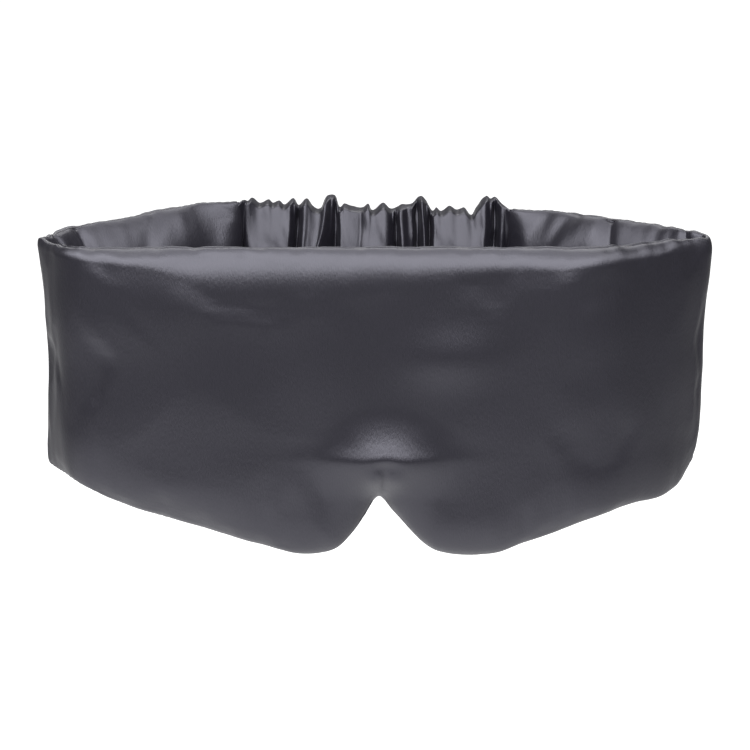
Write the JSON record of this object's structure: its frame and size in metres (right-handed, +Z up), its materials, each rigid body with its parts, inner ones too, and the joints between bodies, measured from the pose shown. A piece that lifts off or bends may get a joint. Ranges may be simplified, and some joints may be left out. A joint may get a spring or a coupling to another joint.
{
  "type": "sleep eye mask",
  "caption": "Padded satin sleep eye mask that wraps round the head: wide front with a nose notch, folding side wings and a ruched elastic strap.",
  "frame": {"origin": "centre of the head opening, halfway up the front panel", "axes": "+X to the right seen from the front, +Y towards the back of the head, +Z up towards the crown"},
  "size_m": [0.245, 0.089, 0.1185],
  "materials": {
    "satin": "woven satin, smooth, soft sheen",
    "wadding": "matt fibre wadding",
    "blackout_cloth": "matt knitted black cloth",
    "elastic": "matt ribbed elastic",
    "sewing_thread": "twisted polyester thread, slight sheen"
  },
  "bodies": {
    "front": {"front_outer_cover": "satin", "front_lining": "satin", "front_blackout_layer": "blackout_cloth", "front_padding": "wadding", "front_top_seam": "sewing_thread", "front_bottom_seam": "sewing_thread", "nose_notch_tack": "sewing_thread"},
    "left_wing": {"left_wing_outer_cover": "satin", "left_wing_lining": "satin", "left_wing_blackout_layer": "blackout_cloth", "left_wing_padding": "wadding", "left_wing_top_seam": "sewing_thread", "left_wing_bottom_seam": "sewing_thread"},
    "right_wing": {"right_wing_outer_cover": "satin", "right_wing_lining": "satin", "right_wing_blackout_layer": "blackout_cloth", "right_wing_padding": "wadding", "right_wing_top_seam": "sewing_thread", "right_wing_bottom_seam": "sewing_thread"},
    "strap_left": {"strap_outer_cover": "satin", "strap_elastic": "elastic", "strap_casing_seam": "sewing_thread", "left_strap_seam": "sewing_thread"},
    "strap_right": {"strap_inner_cover": "satin", "right_strap_seam": "sewing_thread"}
  },
  "joints": [
    {"name": "left_wing_fold", "type": "hinge", "parent": "front", "child": "left_wing", "pos_m": [-0.1185, -0.02, 0], "axis": [0, 0, 1], "range_deg": [0, 21.68]},
    {"name": "right_wing_fold", "type": "hinge", "parent": "front", "child": "right_wing", "pos_m": [0.1185, -0.02, 0], "axis": [0, 0, -1], "range_deg": [0, 21.68]},
    {"name": "left_strap_turn", "type": "hinge", "parent": "left_wing", "child": "strap_left", "pos_m": [-0.052, 0.035, 0], "axis": [0, 0, -1], "range_deg": [0, 21.68]},
    {"name": "strap_stretch", "type": "slide", "parent": "strap_left", "child": "strap_right", "axis": [1, 0, 0], "range_m": [0, 0.05], "stiffness_N_per_m": 40, "deforming": ["strap_elastic", "strap_casing_seam"]}
  ],
  "couplings": [
    {"joint": "left_wing_fold", "follows": "strap_stretch", "rad_per_m": 7.5618},
    {"joint": "right_wing_fold", "follows": "strap_stretch", "rad_per_m": 7.5618},
    {"joint": "left_strap_turn", "follows": "strap_stretch", "rad_per_m": 7.5618}
  ]
}
